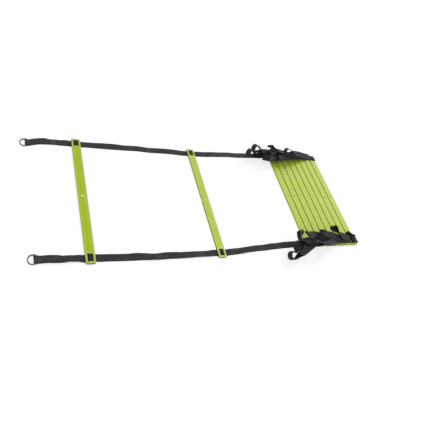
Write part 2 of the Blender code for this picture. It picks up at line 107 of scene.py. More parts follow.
# Lie of the spread webbing, one row a place: distance past the first rung and sideways shift
# from the windows' line, both in millimetres, and tilt in degrees, above 0 where the edge on
# the +Y side lifts
FAR_LIE = (
    (-136, -11.5, 0), (-130, -11.3, 0), (-122, -8.2, 0), (-112, -4.9, -1), (-102, -2.3, 1),
    (-90, -1.3, 4), (-78, -0.2, 0), (-68, -0.5, -6), (-56, 0, -6), (-46, -0.5, -2), (-36, -0.1, 3),
    (-26, -0.8, 6), (-13, 0, 0), (0, 0, 0), (13, 0, -0.6), (24, -0.3, -6), (36, 0.1, -6),
    (48, 0.2, -3), (60, 0.4, 0), (75, 0.1, 5), (92, 0.1, 6), (110, 0.2, 7.5), (122, 0.7, 5),
    (140, 0.8, 1), (165, 1.6, 0), (192, 2.2, 1.5), (210, 1.2, -3), (224, -0.2, -7),
    (245, 0.4, -4), (268, 1.3, 0), (300, 1.3, 2), (318, 0.9, 1.5), (350, -0.8, 0), (364, 0, 0),
    (377, 0, 0), (390, 0, 0), (404, 0.7, 2), (430, 2.3, 0), (455, 4.4, 2), (472, 6.3, 0),
    (494, 7.8, -4), (512, 9.5, -4.5), (530, 10.9, -3), (548, 10.9, -4), (565, 11.2, -4),
    (580, 12.9, -2), (600, 14.4, -2), (640, 17.9, 0), (690, 23.5, 0), (706, 26, 0),
    (720, 26, 0),
)
NEAR_LIE = (
    (-128, 1.8, 0), (-120, 0.9, -5), (-111, 0.9, -11), (-101, 1.7, -9), (-91, 1.7, -6),
    (-80, 1.1, -6), (-70, 0.1, -10), (-60, 0.1, -11), (-50, 0.7, -15), (-40, 0.1, -14),
    (-28, 0.5, -12), (-15, -0.7, -1), (0, 0, 0), (13, 0, 0), (24, -0.7, 3), (40, -0.6, 0),
    (56, -1, -2), (75, -1.6, -4), (92, -1.9, -2), (103, -1.9, 2), (114, -2, 7), (126, -1.8, 6),
    (138, -1.9, 1), (150, -2.7, -5), (162, -3.9, -11), (173, -4.3, -12), (185, -3.6, -8),
    (197, -2.5, -4), (208, -1.8, 0), (222, -1.7, -1), (234, -2.2, -4), (246, -2.8, -9),
    (270, -2.6, -10.5), (295, -2, -12), (318, -2.1, -13), (334, -1.9, -12), (350, 0, -7),
    (364, 0, 0), (377, 0, 0), (390, -0.9, 0), (402, 0.9, -5), (416, 2.1, -3), (432, 3.1, -6),
    (446, 4, -8.5), (460, 5.7, -10), (475, 7.2, -11), (490, 9.1, -8), (506, 10.7, -5),
    (522, 11.4, -6), (536, 12.1, -6), (550, 13.9, -1), (560, 14.9, 4), (576, 16.2, 2),
    (592, 17, 2), (608, 18.1, 8), (624, 18.8, 9), (641, 19.6, 8), (665, 21.4, 4),
    (690, 23.7, 0), (706, 26, 0), (720, 26, 0),
)

# One row a bight, from the stack's first gap to its last. Length as a share of the slack, eye
# radius as a share of the webbing's width, side of the line the eye stands on (1 above), then
# heading, yaw and roll once it lies, and the same three at its tip, in right angles
FAR_BIGHT_SHARES = (
    (0.953, 0.653, 0.85, 0.965, -0.163, -0.257, 0.874, -0.19, 0.28),
    (0.937, 0.582, 1.00, 0.881, -0.060, -0.219, 0.971, -0.11, 0.28),
    (0.945, 0.707, 0.82, 0.899, -0.303, -0.087, 1.000, 0.08, -0.52),
    (0.945, 0.196, 0.44, 0.883, 0.029, -0.057, 0.774, -0.90, 0.11),
    (1.042, 0.181, -0.47, 0.861, -0.053, 0.022, 0.714, 0.15, 0.62),
    (0.999, 0.153, -0.81, 0.871, -0.204, -0.260, 1.010, -0.09, -0.13),
    (1.012, 0.491, -0.36, 0.792, -0.141, -0.366, 0.898, 0.12, 0.36),
)
NEAR_BIGHT_SHARES = (
    (0.682, 0.341, 1.00, 0.902, -0.217, -0.291, 0.550, 0.85, 0.13),
    (1.090, 0.628, 0.68, 0.948, -0.304, -0.113, 1.019, -0.21, 0.70),
    (1.140, 0.750, -0.03, 0.847, -0.086, -0.228, 0.979, -0.38, 0.70),
    (0.880, 0.186, 1.00, 0.791, 0.052, -0.197, 0.946, -0.08, 0.15),
    (1.013, 0.368, -0.03, 0.724, -0.255, 0.016, 1.235, 0.19, 0.44),
    (0.916, 0.420, 0.57, 0.734, -0.022, -0.414, 1.108, 0.18, -0.24),
    (0.769, 0.380, 0.92, 0.730, 0.021, -0.390, 0.867, 0.32, 0.70),
)

# Tails: lift of the inner edge, turn inward and turn at the end, in right angles, then the
# shares of the tail's length over which it lifts and turns
FAR_TAIL_SHARES = (0.14, -0.20, 0.26, 0.60, 0.67)
NEAR_TAIL_SHARES = (0.98, 0.58, 0.46, 0.59, 0.66)

# Each side strap: side, ring's distance ahead of the first rung, lie, bights, and the tail's
# length, how loosely it wraps the last rung, and its shares
STRAPS = {
    "far": (1, 0.136, FAR_LIE, FAR_BIGHT_SHARES, (0.023, 0.0010), FAR_TAIL_SHARES),
    "near": (-1, 0.128, NEAR_LIE, NEAR_BIGHT_SHARES, (0.050, 0.0061), NEAR_TAIL_SHARES),
}

# Camera: its place and the point it looks at, from the middle of the first rung's top face,
# its turn about its own axis, and its lens
CAMERA_PLACE = (-0.1993, -0.7319, 0.9364)
CAMERA_AIM = (0.4177, -0.0924, -0.0058)
CAMERA_ROLL = math.radians(34.88)
CAMERA_LENS = 33.1
CAMERA_SENSOR = 36.0

# Finishes of the rungs: plastic of the two spread ones and of the gathered ones, set apart partly
# by the plastic's own tone and partly by painted light that is brighter towards the gathered rungs,
# with a step of painted light from each of those to the next, and the shares of that colour that
# their upright sides keep, as painted shade on the spread rungs and painted green bounce light on
# the gathered ones
SPREAD_GREEN = ((0.37, 0.50, 0.004), (0.46, 0.565, 0.040))
STACK_GREEN = (0.45, 0.58, 0.018)
STACK_PAINTED_LIGHT_STEP = 0.0025
SPREAD_SIDE_PAINTED_SHADE = (0.40, 0.39, 0.59)
STACK_SIDE_PAINTED_BOUNCE = (1.10, 1.08, 0.16)

# Paler margins of a rung's top, a painted reflection: where they set in and are full, off its
# middle line and off its ends, and the depths below the top at which the sides' painted light and
# shade ends and the top's colour is full
RIM_START = 0.0062
RIM_FULL = 0.0098
RIM_END_START = 0.034
RIM_END_FULL = 0.0315
SIDE_DEPTH = 0.0014
TOP_DEPTH = 0.0006

# Painted highlight round a peg hole: its radius, the width over which it fades, and its colour
PEG_HOLE_RIM = 0.0041
PEG_HOLE_FADE = 0.0008
PEG_HOLE_HIGHLIGHT = (0.72, 0.86, 0.24)

# Patterns: how much each axis is stretched, and the height of the relief
FLOW_STRETCH = (260.0, 14.0, 260.0)
SCUFF_STRETCH = (900.0, 60.0, 900.0)
GRAIN_RELIEF = 0.00008
TWIST_STRETCH = (5200.0, 5200.0, 2600.0)
TWIST_RELIEF = 0.00005
SCRATCH_STRETCH = (900.0, 2600.0, 900.0)
SCRATCH_RELIEF = 0.00003

# Webbing: where its selvedge sets in and is full, from the edge, and the painted shade that darkens
# it in the slots
SELVEDGE_START = 0.0016
SELVEDGE_FULL = 0.0008
SLOT_SHADE = 0.62

# Floor: how far it looks for cover, the open shares at which it shuts and is fully open, how
# strongly it glows, and its colours where it is shut, a painted shade, and where it is open
FLOOR_REACH = 0.008
FLOOR_SHUT = 0.36
FLOOR_OPEN = 0.52
FLOOR_GLOW = 0.74
FLOOR_PAINTED_SHADE = (0.06, 0.06, 0.06)
FLOOR_PALE = (0.30, 0.30, 0.30)

# Floor below the stack: its colour, a painted green bounce light from the plastic above, half the
# width over which that sets in, how open the floor is below the stack's peg holes, which paints
# light there, and the width over which the light below a hole fades
FLOOR_PAINTED_BOUNCE = (0.42, 0.54, 0.03)
STACK_EDGE_FADE = 0.001
STACK_HOLE_GLOW = 0.4
FLOOR_HOLE_FADE = 0.0006

# Key light: its direction and its spread
KEY_DIRECTION = (-1.0, -0.7, -1.0)
KEY_ANGLE = math.radians(28.0)

# What all properties of a kind share
LENGTH = {"unit": "LENGTH", "precision": 5}
COLOUR = {"size": 3, "subtype": "COLOR", "min": 0.0, "max": 1.0}


class WebbingSizes(bpy.types.PropertyGroup):
    """Sizes of the flat woven webbing."""

    width: FloatProperty(
        name="Width", description="Width of the webbing", default=0.022, **LENGTH
    )
    thickness: FloatProperty(
        name="Thickness", description="Thickness of the webbing", default=0.0012, **LENGTH
    )
    weave_column: FloatProperty(
        name="Weave column", description="Width of one column of yarns", default=0.00138, **LENGTH
    )
    weave_row: FloatProperty(
        name="Weave row", description="Length of one float of yarn", default=0.0016, **LENGTH
    )
    weave_relief: FloatProperty(
        name="Weave relief", description="Height of the yarns' relief", default=0.00022, **LENGTH
    )


class StitchSizes(bpy.types.PropertyGroup):
    """Sizes of the lock stitching on the sewn folds."""

    length: FloatProperty(
        name="Stitch length", description="Visible length of a stitch", default=0.0023, **LENGTH
    )
    pitch: FloatProperty(
        name="Stitch pitch", description="Distance from stitch to stitch", default=0.003, **LENGTH
    )
    thread: FloatProperty(
        name="Thread", description="Thickness of the thread", default=0.00055, **LENGTH
    )
    margin: FloatProperty(
        name="Margin", description="Distance of the seam from the webbing's edge",
        default=0.0034, **LENGTH
    )


class RingSizes(bpy.types.PropertyGroup):
    """Fineness of the bent rings."""

    sides: IntProperty(
        name="Ring sides", description="Sides of the round wire's section", default=20, min=6
    )


class LadderColours(bpy.types.PropertyGroup):
    """Colours of the rungs, the webbing, the thread and the rings."""

    first_rung: FloatVectorProperty(
        name="First rung", description="Plastic of the first spread rung",
        default=SPREAD_GREEN[0], **COLOUR,
    )
    second_rung: FloatVectorProperty(
        name="Second rung", description="Plastic of the second spread rung",
        default=SPREAD_GREEN[1], **COLOUR,
    )
    stack: FloatVectorProperty(
        name="Gathered rungs", description="Plastic of the gathered rungs",
        default=STACK_GREEN, **COLOUR,
    )
    # Painted shade: the colour of the weave's valleys between the yarns
    webbing_shaded_valleys: FloatVectorProperty(
        name="Webbing, valleys", description="Webbing colour between the yarns",
        default=(0.012, 0.012, 0.013), **COLOUR,
    )
    webbing_light: FloatVectorProperty(
        name="Webbing, yarns", description="Webbing colour on top of the yarns",
        default=(0.034, 0.033, 0.036), **COLOUR,
    )
    thread: FloatVectorProperty(
        name="Thread", description="Colour of the stitching",
        default=(0.045, 0.045, 0.048), **COLOUR,
    )
    steel: FloatVectorProperty(
        name="Steel", description="Colour of the plated rings",
        default=(0.16, 0.16, 0.165), **COLOUR,
    )


class StageLight(bpy.types.PropertyGroup):
    """Strengths of the studio light."""

    key: FloatProperty(
        name="Key", description="Strength of the soft sun from behind", default=1.1, min=0.0
    )
    fill: FloatProperty(
        name="Fill", description="Strength of the world's even light", default=0.74, min=0.0
    )


# Meshes from arrays


def ease(share):
    """Smooth step s*s*(3 - 2s) of the share s held between 0 and 1."""
    share = np.clip(share, 0.0, 1.0)
    return share * share * (3.0 - 2.0 * share)


def new_mesh(name, points, faces, smooth=True):
    """A mesh object from an array of points and a list of faces."""
    mesh = bpy.data.meshes.new(name)
    mesh.from_pydata(points.tolist(), [], faces)
    mesh.polygons.foreach_set("use_smooth", np.full(len(mesh.polygons), smooth))
    mesh.validate()
    thing = bpy.data.objects.new(name, mesh)
    bpy.context.scene.collection.objects.link(thing)
    return thing


def grid_faces(rows, columns, close_rows=False, turned=False):
    """Faces of a grid whose columns close on themselves, and its rows too if asked.

    Face (i, j) joins the points (i, j), (i, j+1), (i+1, j+1) and (i+1, j), counted round, or
    counted the other way where it is turned."""
    row = np.arange(rows if close_rows else rows - 1)[:, None]
    column = np.arange(columns)[None, :]
    below = (row + 1) % rows
    beside = (column + 1) % columns
    corners = (
        row * columns + column,
        row * columns + beside,
        below * columns + beside,
        below * columns + column,
    )
    shape = corners[1].shape
    faces = np.stack([np.broadcast_to(c, shape) for c in corners], axis=-1).reshape(-1, 4)
    return (faces[:, ::-1] if turned else faces).tolist()


def set_attribute(thing, name, values):
    """Write a vector for each point of the mesh under an attribute's name."""
    attribute = thing.data.attributes.new(name, "FLOAT_VECTOR", "POINT")
    attribute.data.foreach_set("vector", np.ascontiguousarray(values, np.float32).ravel())


# Routes of the webbing. A route is two arrays, the places of the band's middle and the
# directions across it, in the frame of the first rung's middle on the floor.


def across(count):
    """Directions straight across the ladder, one for each place."""
    return np.tile((0.0, 1.0, 0.0), (count, 1))


def layout(web):
    """Heights and distances of the webbing in the rungs, worked out from the rungs' places."""
    thickness = web.thickness
    rung_base = thickness + REST_GAP
    places = [(c.x - RUNG_CENTRES[0].x, c.y - RUNG_CENTRES[0].y) for c in RUNG_CENTRES]
    window_length = web.width + 2 * WEB_SIDE_ROOM
    return {
        "top": rung_base + RUNG_THICKNESS,
        "places": places,
        "window_half": RUNG_WIDTH / 2 - RAIL_WIDTH,
        "window_centre": RUNG_LENGTH / 2 - END_BAR_WIDTH - window_length / 2,
        "slack": places[1][0] - RUNG_WIDTH,
        "ply_offset": (thickness + PLY_GAP) / 2,
        "crest": rung_base + CENTRE_BAR_HEIGHT + REST_GAP + thickness / 2,
        "floor_ply": thickness / 2,
        "wrap_radius": RING_WIRE_RADIUS + REST_GAP + thickness / 2,
        "ring_bar_height": thickness + REST_GAP + RING_WIRE_RADIUS,
        "lap_ply": 1.5 * thickness + FOLD_PLY_GAP,
        "origin": np.array(
            (RUNG_CENTRES[0].x, RUNG_CENTRES[0].y, RUNG_BOXES[0][0].z - rung_base)
        ),
    }


def lie_at(rows, x):
    """Sideways shift in metres and tilt in radians of the lying webbing at places x.

    A cubic through the rows: h00 v0 + h10 step m0 + h01 v1 + h11 step m1, with slopes m from
    the neighbouring rows."""
    rows = np.array(rows) * (0.001, 0.001, math.pi / 180)
    knots, values = rows[:, 0], rows[:, 1:]
    slopes = np.gradient(values, knots, axis=0)
    x = np.clip(x, knots[0], knots[-1])
    here = np.clip(np.searchsorted(knots, x) - 1, 0, len(knots) - 2)
    step = (knots[here + 1] - knots[here])[..., None]
    share = (x - knots[here])[..., None] / step
    rest = 1.0 - share
    low = (1.0 + 2.0 * share) * rest**2 * values[here] + share * rest**2 * step * slopes[here]
    high = share**2 * ((3.0 - 2.0 * share) * values[here + 1] - rest * step * slopes[here + 1])
    return np.moveaxis(low + high, -1, 0)


def on_strap(word, web, plan, x, aside, above):
    """Points at a distance aside across and above square to the webbing that lies at x."""
    side, _, rows, *_ = STRAPS[word]
    shift, tilt = lie_at(rows, x)
    y = side * plan["window_centre"] + shift + aside * np.cos(tilt) - above * np.sin(tilt)
    lift = plan["floor_ply"] + np.abs(np.sin(tilt)) * web.width / 2
    return np.stack([x, y, lift + aside * np.sin(tilt) + above * np.cos(tilt)], axis=-1)


def lying_run(word, web, plan, x, above):
    """A run of the lying webbing through places x, raised square to itself, and its widths."""
    middle = on_strap(word, web, plan, x, 0.0, above)
    return middle, on_strap(word, web, plan, x, 1.0, above) - middle


def fold_run(word, web, plan, bar_x, steps=24):
    """The sewn end: back along the lap, up over the ring's bar and round it to the floor."""
    lap = np.linspace(FOLD_LAP, FOLD_TAPER, steps)[:-1]
    taper = np.linspace(FOLD_TAPER, 0.0, steps)[:-1]
    turn = np.linspace(0.0, math.pi, steps)
    radius = plan["wrap_radius"]
    height = plan["ring_bar_height"] - plan["floor_ply"]
    ply = plan["lap_ply"] - plan["floor_ply"]
    rise = ply + (height + radius - ply) * ease(1.0 - taper / FOLD_TAPER)
    x = np.concatenate([lap, taper, -radius * np.sin(turn), lap[::-1]]) + bar_x
    above = [np.full(len(lap), ply), rise, height + radius * np.cos(turn), 0.0 * lap]
    return lying_run(word, web, plan, x, np.concatenate(above))


def hump_run(plan, rung_x, rung_y, low, steps=15):
    """Up through one slot, over the centre bar and down through the other, eased in height."""
    bar = CENTRE_BAR_WIDTH / 2
    half = plan["window_half"]
    up = np.linspace(-half, -bar, steps)
    offset = np.concatenate([up, -up[::-1]])
    z = low + (plan["crest"] - low) * ease((half - np.abs(offset)) / (half - bar))
    return np.stack([rung_x + offset, np.full(len(z), rung_y), z], axis=1), across(len(z))


def corner_run(plan, x, y, side, steps=9):
    """Quarter turn in the gap between two rungs: floor to upright, or upright to floor."""
    turn = np.linspace(0.0, QUARTER, steps)
    out = plan["ply_offset"] + WEB_BEND_RADIUS
    px = x + side * (out - WEB_BEND_RADIUS * np.sin(turn))
    pz = plan["floor_ply"] + WEB_BEND_RADIUS * (1.0 - np.cos(turn))
    points = np.stack([px, np.full(steps, y), pz], axis=1)
    return (points[::-1] if side > 0 else points), across(steps)


def bight_angles(along, length, shares):
    """Heading from upright, yaw and roll of a bight's middle line at distances along it.

    Each angle eases to its lying value past the root, and on to its last value at the tip."""
    _, _, _, lay, yaw, roll, tip_lay, tip_yaw, tip_roll = shares
    bend = np.clip((along - BIGHT_RISE) / (BIGHT_BEND_RADIUS * lay * QUARTER), 0.0, 1.0)
    set_in = ease((along - BIGHT_RISE) / BIGHT_TURN_LENGTH)
    tip = ease((along - length + BIGHT_TIP_LENGTH) / BIGHT_TIP_LENGTH)
    heading = lay * bend + (tip_lay - lay) * tip
    return (
        QUARTER * heading,
        QUARTER * (yaw * set_in + (tip_yaw - yaw) * tip),
        QUARTER * (roll * set_in + (tip_roll - roll) * tip),
    )


def bight_run(plan, web, gap_x, root_y, shares, root_steps=17, lay_steps=72, eye_steps=31):
    """One bight: out along the lower side of its middle line, round the eye, and back above.

    The middle line adds up its direction over the distance. The plies stand off it by half
    the ply pitch, which eases open to the eye's radius over the neck."""
    slack, eye, eye_side = shares[:3]
    radius = eye * web.width
    length = (slack * plan["slack"] - math.pi * radius) / 2 - plan["top"]
    bent = BIGHT_RISE + QUARTER * BIGHT_BEND_RADIUS
    along = np.concatenate(
        [np.linspace(0.0, bent, root_steps), np.linspace(bent, length, lay_steps)[1:]]
    )
    heading, yaw, roll = bight_angles(along, length, shares)
    ahead = np.stack(
        [-np.sin(heading) * np.cos(yaw), np.sin(heading) * np.sin(yaw), np.cos(heading)], axis=1
    )
    level = np.stack([np.sin(yaw), np.cos(yaw), 0.0 * yaw], axis=1)
    under = np.cross(ahead, level)
    wide = np.cos(roll)[:, None] * level + np.sin(roll)[:, None] * under
    below = np.cos(roll)[:, None] * under - np.sin(roll)[:, None] * level
    steps = (ahead[1:] + ahead[:-1]) / 2 * (along[1:] - along[:-1])[:, None]
    middle = np.concatenate([np.zeros((1, 3)), np.cumsum(steps, axis=0)])
    middle += (gap_x, root_y, plan["top"])
    neck = ease((along - length + BIGHT_NECK_SHARE * radius) / (BIGHT_NECK_SHARE * radius))
    half = plan["ply_offset"] + BIGHT_LOOSENESS * ease((along - BIGHT_RISE) / BIGHT_TURN_LENGTH)
    swell = (radius - half) * neck
    lower = middle + (half + swell * (1.0 - eye_side))[:, None] * below
    upper = middle - (half + swell * (1.0 + eye_side))[:, None] * below
    centre = (lower[-1] + upper[-1]) / 2
    turn = np.linspace(QUARTER, -QUARTER, eye_steps)[1:-1, None]
    round_eye = centre + radius * (np.sin(turn) * below[-1] + np.cos(turn) * ahead[-1])
    places = np.concatenate([lower, round_eye, upper[::-1]])
    widths = np.concatenate([wide, np.tile(wide[-1], (len(turn), 1)), wide[::-1]])
    return places, widths


def tail_run(plan, web, rung_x, rung_y, side, tail, shares, steps=33):
    """The strap's end: under the last rung's outer rail, round it, then on edge and inward."""
    length, looseness = tail
    lift_most, turn_most, turn_last, lift_over, turn_over = shares
    rail = RUNG_WIDTH / 2 - RUNG_TOP_BEVEL
    top = plan["top"] + REST_GAP + web.thickness / 2 + looseness
    radius = (top - plan["floor_ply"]) / 2
    turn = np.linspace(0.0, math.pi, steps)
    height = plan["floor_ply"] + radius * (1.0 - np.cos(turn))
    wrap = np.stack([rail + radius * np.sin(turn), 0.0 * turn, height], axis=1)
    share = np.linspace(0.0, 1.0, steps)[1:]
    lift = QUARTER * lift_most * ease(share / lift_over)
    straighten = (turn_last - turn_most) * ease((share - turn_over) / (1.0 - turn_over))
    yaw = QUARTER * (turn_most * ease(share / turn_over) + straighten)
    heading = np.stack([-np.cos(yaw), -side * np.sin(yaw), 0.0 * yaw], axis=1)
    level = np.stack([-side * np.sin(yaw), np.cos(yaw), 0.0 * yaw], axis=1)
    end = wrap[-1] + np.cumsum(heading * (length / len(share)), axis=0)
    end[:, 2] += np.sin(lift) * web.width / 2 - looseness * ease(share)
    upright = np.array((0.0, 0.0, 1.0))
    wide = np.cos(lift)[:, None] * level - side * np.sin(lift)[:, None] * upright
    places = np.concatenate([wrap, end]) + (rung_x, rung_y, 0.0)
    return places, np.concatenate([across(len(wrap)), wide])


def strap_route(web, plan, word, step=0.0028, least_step=1e-6):
    """The whole route of one side strap, from its sewn lap to its end in the last rung."""
    side, ring_ahead, _, bights, tail, tail_shares = STRAPS[word]
    start = -ring_ahead + FOLD_LAP + plan["wrap_radius"]
    stack = plan["places"][2:]
    end = stack[0][0] - RUNG_WIDTH / 2
    span = np.linspace(start, end, int((end - start) / step))
    runs = [fold_run(word, web, plan, -ring_ahead), lying_run(word, web, plan, span, 0.0)]
    stack_y = side * plan["window_centre"] + stack[0][1]
    for number, (rung_x, _) in enumerate(stack):
        runs.append(hump_run(plan, rung_x, stack_y, plan["floor_ply"]))
        if number < len(stack) - 1:
            gap_x = (rung_x + stack[number + 1][0]) / 2
            runs.append(corner_run(plan, gap_x, stack_y, -1))
            runs.append(bight_run(plan, web, gap_x, stack_y, bights[number]))
            runs.append(corner_run(plan, gap_x, stack_y, 1))
    runs.append(tail_run(plan, web, rung_x, stack_y, side, tail, tail_shares))
    places = np.concatenate([run[0] for run in runs])
    widths = np.concatenate([run[1] for run in runs])
    apart = np.linalg.norm(np.diff(places, axis=0), axis=1)
    keep = np.concatenate([[True], apart > least_step])
    return places[keep], widths[keep]


def band_frame(places, widths):
    """Unit directions along, across and square to the band at every place of its route.

    The direction along is the mean of the two steps beside a place. The direction across is
    the wanted one less its part along, and the third is their cross product."""
    steps = np.diff(places, axis=0)
    steps /= np.linalg.norm(steps, axis=1)[:, None]
    along = np.concatenate([steps[:1], steps[1:] + steps[:-1], steps[-1:]])
    along /= np.linalg.norm(along, axis=1)[:, None]
    wide = widths - np.sum(widths * along, axis=1)[:, None] * along
    wide /= np.linalg.norm(wide, axis=1)[:, None]
    return along, wide, np.cross(along, wide)


def web_section(web, columns=6, corner_steps=3):
    """Section of the webbing: two flat faces joined by rounded selvedges, counter-clockwise.

    Returns the distances across and square to the band of its points."""
    radius = web.thickness / 2
    flat = web.width / 2 - radius
    face = np.linspace(flat, -flat, columns)
    turn = np.linspace(QUARTER, 3 * QUARTER, corner_steps + 2)[1:-1]
    u = np.concatenate([face, radius * np.cos(turn) - flat, -face, flat - radius * np.cos(turn)])
    top = np.full(columns, radius)
    v = np.concatenate([top, radius * np.sin(turn), -top, -radius * np.sin(turn)])
    return u, v


def band_piece(name, web, places, widths, origin):
    """The woven band: the section carried along the route, with both ends closed.

    Point (i, j) is place i plus u(j) across plus v(j) square to the band."""
    _, wide, square = band_frame(places, widths)
    u, v = web_section(web)
    points = places[:, None] + u[None, :, None] * wide[:, None] + v[None, :, None] * square[:, None]
    rows, columns = points.shape[:2]
    faces = grid_faces(rows, columns)
    faces.append(list(reversed(range(columns))))
    faces.append([(rows - 1) * columns + column for column in range(columns)])
    thing = new_mesh(name, points.reshape(-1, 3) + origin, faces)
    length = np.concatenate([[0.0], np.cumsum(np.linalg.norm(np.diff(places, axis=0), axis=1))])
    ribbon = np.zeros((rows, columns, 3))
    ribbon[:, :, 0] = u
    ribbon[:, :, 1] = length[:, None]
    set_attribute(thing, "web_place", ribbon.reshape(-1, 3))
    return thing, length[-1]


# Stitching and rings


def seam_line(corners, pitch):
    """Points at one pitch along a chain of straight lines, with the direction at each."""
    corners = np.array(corners)
    steps = np.diff(corners, axis=0)
    lengths = np.linalg.norm(steps, axis=1)
    places = []
    for corner, step, length in zip(corners, steps, lengths):
        count = max(1, round(length / pitch))
        share = (np.arange(count) + 0.5) / count
        middle = corner + share[:, None] * step
        places.append(np.concatenate([middle, np.tile(step / length, (count, 1))], axis=1))
    return np.concatenate(places)


def stitch_cluster(name, places, sizes, lay, origin, steps=7, sides=8):
    """Rows of stitches, each an ellipsoid laid along its seam and half sunk in the webbing.

    Point (t, p) of a stitch is its half length times cos p ahead, and its half thickness times
    sin p round it at the angle t."""
    rings = np.linspace(0.0, math.pi, steps)[1:-1]
    turn = np.linspace(0.0, 2 * math.pi, sides, endpoint=False)
    ahead = np.cos(rings)[:, None] * sizes.length / 2 * np.ones(sides)
    aside = np.sin(rings)[:, None] * np.cos(turn) * sizes.thread / 2
    up = np.sin(rings)[:, None] * np.sin(turn) * sizes.thread / 2
    shape = np.stack([ahead.ravel(), aside.ravel(), up.ravel()], axis=1)
    tip = np.array([(sizes.length / 2, 0.0, 0.0), (-sizes.length / 2, 0.0, 0.0)])
    shape = np.concatenate([shape, tip])
    direction = places[:, 2:]
    normal = np.stack([-direction[:, 1], direction[:, 0]], axis=1)
    flat = places[:, None, :2] + shape[None, :, :1] * direction[:, None]
    flat += shape[None, :, 1:2] * normal[:, None]
    points = lay(flat[..., 0], flat[..., 1], shape[None, :, 2])
    body = grid_faces(len(rings), sides, turned=True)
    last = len(rings) * sides
    low = last - sides
    for column in range(sides):
        beside = (column + 1) % sides
        body.append([last, column, beside])
        body.append([last + 1, low + beside, low + column])
    faces = [
        [corner + first for corner in face]
        for first in range(0, len(points) * len(shape), len(shape))
        for face in body
    ]
    return new_mesh(name, points.reshape(-1, 3) + origin, faces)


def ring_line(corner_steps=7, crown_steps=56, bar_steps=9):
    """Middle line of a D-ring's wire: a straight bar, two tight corners and a round crown.

    The crown's depth is a power of the sine of its angle, which squares its shoulders."""
    corner = RING_CORNER_RADIUS
    inner = RING_HALF_WIDTH - corner
    turn = np.linspace(0.0, QUARTER, corner_steps)
    first = np.stack([corner * np.cos(turn) - corner, inner + corner * np.sin(turn)], axis=1)
    angle = np.linspace(0.0, math.pi, crown_steps)[1:-1]
    deep = corner + (RING_DEPTH - corner) * np.sin(angle) ** RING_CROWN_POWER
    crown = np.stack([-deep, RING_HALF_WIDTH * np.cos(angle)], axis=1)
    last = np.stack([corner * np.sin(turn) - corner, -inner - corner * np.cos(turn)], axis=1)
    bar = np.linspace(-inner, inner, bar_steps)[1:-1]
    straight = np.stack([0.0 * bar, bar], axis=1)
    return np.concatenate([first, crown, last, straight])


def ring_piece(name, centre, sides):
    """The bent wire: a circle carried round the ring's closed line.

    Point (i, j) is place i plus the wire's radius times cos t outward and sin t upward."""
    line = ring_line()
    tangent = np.roll(line, -1, axis=0) - np.roll(line, 1, axis=0)
    tangent /= np.linalg.norm(tangent, axis=1)[:, None]
    outward = np.stack([tangent[:, 1], -tangent[:, 0], np.zeros(len(line))], axis=1)
    turn = np.linspace(0.0, 2 * math.pi, sides, endpoint=False)
    flat = np.column_stack([line, np.zeros(len(line))])
    points = flat[:, None] + RING_WIRE_RADIUS * np.cos(turn)[None, :, None] * outward[:, None]
    points[:, :, 2] += RING_WIRE_RADIUS * np.sin(turn)
    tilt = math.asin((centre[2] - RING_WIRE_RADIUS) / RING_DEPTH)
    turned = points.reshape(-1, 3) @ np.array(Matrix.Rotation(-tilt, 3, "Y")).T
    faces = grid_faces(len(line), sides, close_rows=True, turned=True)
    return new_mesh(name, turned + centre, faces)


# Materials


class Value:
    """A socket that takes part in arithmetic, so that a pattern reads as a formula."""

    def __init__(self, nodes, socket):
        self.nodes = nodes
        self.socket = socket

    def maths(self, operation, *values):
        return self.nodes.add("ShaderNodeMath", {"operation": operation}, values)

    def __add__(self, other):
        return self.maths("ADD", self, other)

    __radd__ = __add__

    def __sub__(self, other):
        return self.maths("SUBTRACT", self, other)

    def __rsub__(self, other):
        return self.maths("SUBTRACT", other, self)

    def __mul__(self, other):
        return self.maths("MULTIPLY", self, other)

    __rmul__ = __mul__

    def __truediv__(self, other):
        return self.maths("DIVIDE", self, other)

    def sine(self):
        return self.maths("SINE", self)

    def size(self):
        return self.maths("ABSOLUTE", self)

    def floor(self):
        return self.maths("FLOOR", self)

    def modulo(self, other):
        return self.maths("FLOORED_MODULO", self, other)

    def power(self, other):
        return self.maths("POWER", self, other)

    def between(self, low, high):
        """Smooth step of the value from 0 at low to 1 at high."""
        settings = {"interpolation_type": "SMOOTHSTEP"}
        return self.nodes.add("ShaderNodeMapRange", settings, (self, low, high, 0.0, 1.0))


class Nodes:
    """A node tree under way, and the one method that adds a node."""

    def __init__(self, tree):
        self.tree = tree

    def add(self, kind, settings=None, values=(), output=0):
        """Add a node, set its settings, then give its sockets values or links."""
        made = self.tree.nodes.new(kind)
        for key, value in (settings or {}).items():
            setattr(made, key, value)
        pairs = values.items() if isinstance(values, dict) else enumerate(values)
        for key, value in pairs:
            if isinstance(value, Value):
                self.tree.links.new(value.socket, made.inputs[key])
            else:
                made.inputs[key].default_value = value
        return Value(self, made.outputs[output])

    def outputs(self, kind, names, *values):
        """Add a node and give the outputs of these names."""
        made = self.add(kind, None, values).socket.node
        return [Value(self, made.outputs[name]) for name in names]

    def mix(self, share, low, high):
        """Colour between two colours or sockets by a share."""
        low, high = [c if isinstance(c, Value) else (*c, 1.0) for c in (low, high)]
        return self.add("ShaderNodeMix", {"data_type": "RGBA"}, {0: share, 6: low, 7: high}, 2)

    def noise(self, place, scale, detail, roughness):
        """Cloudy noise between 0 and 1."""
        values = {"Vector": place, "Scale": scale, "Detail": detail, "Roughness": roughness}
        return self.add("ShaderNodeTexNoise", None, values)


